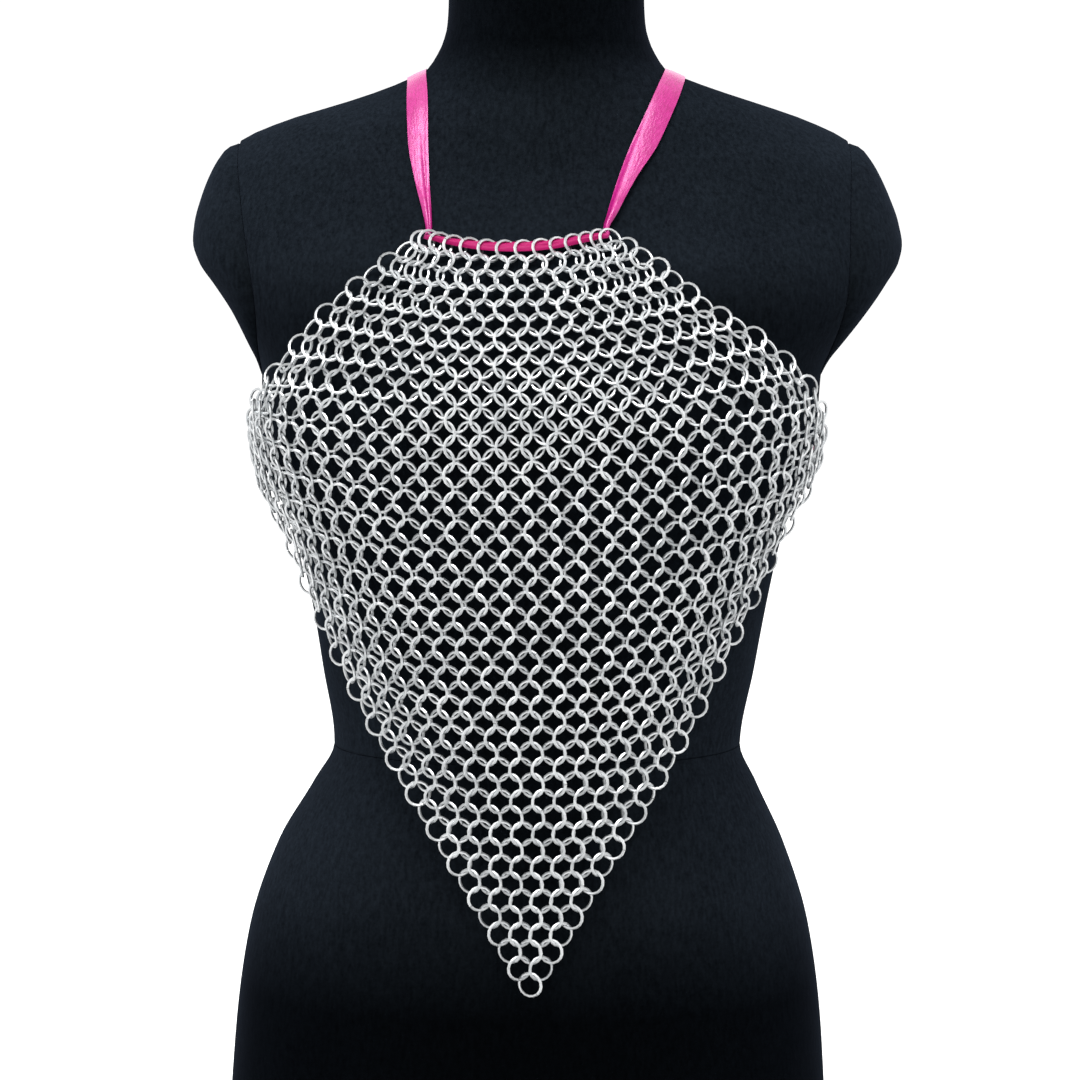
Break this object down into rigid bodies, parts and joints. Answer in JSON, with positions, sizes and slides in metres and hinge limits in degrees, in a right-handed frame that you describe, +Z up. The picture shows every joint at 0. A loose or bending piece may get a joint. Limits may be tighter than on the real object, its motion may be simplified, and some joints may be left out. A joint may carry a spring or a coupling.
{
  "type": "chainmail halter top on a dress form",
  "caption": "Kite-shaped halter top of linked metal rings, held by a satin ribbon round the neck and one round the back, on a limbless dress form.",
  "frame": {"origin": "centre of the dress form's flat base", "axes": "+Z up through the neck, -Y towards the front of the top, +X towards the right as seen from the front"},
  "size_m": [0.375, 0.2332, 0.61],
  "materials": {
    "form": "matt black",
    "rings": "satin",
    "ribbon": "satin weave"
  },
  "bodies": {
    "root": {"form_lower": "form", "form_upper": "form", "form_cap_left": "form", "form_cap_right": "form", "mail_front": "rings", "neck_ribbon_front": "ribbon", "neck_ribbon_left": "ribbon", "neck_ribbon_right": "ribbon", "neck_knot": "ribbon", "back_ribbon_left": "ribbon", "back_ribbon_right": "ribbon", "back_knot": "ribbon"}
  },
  "joints": []
}
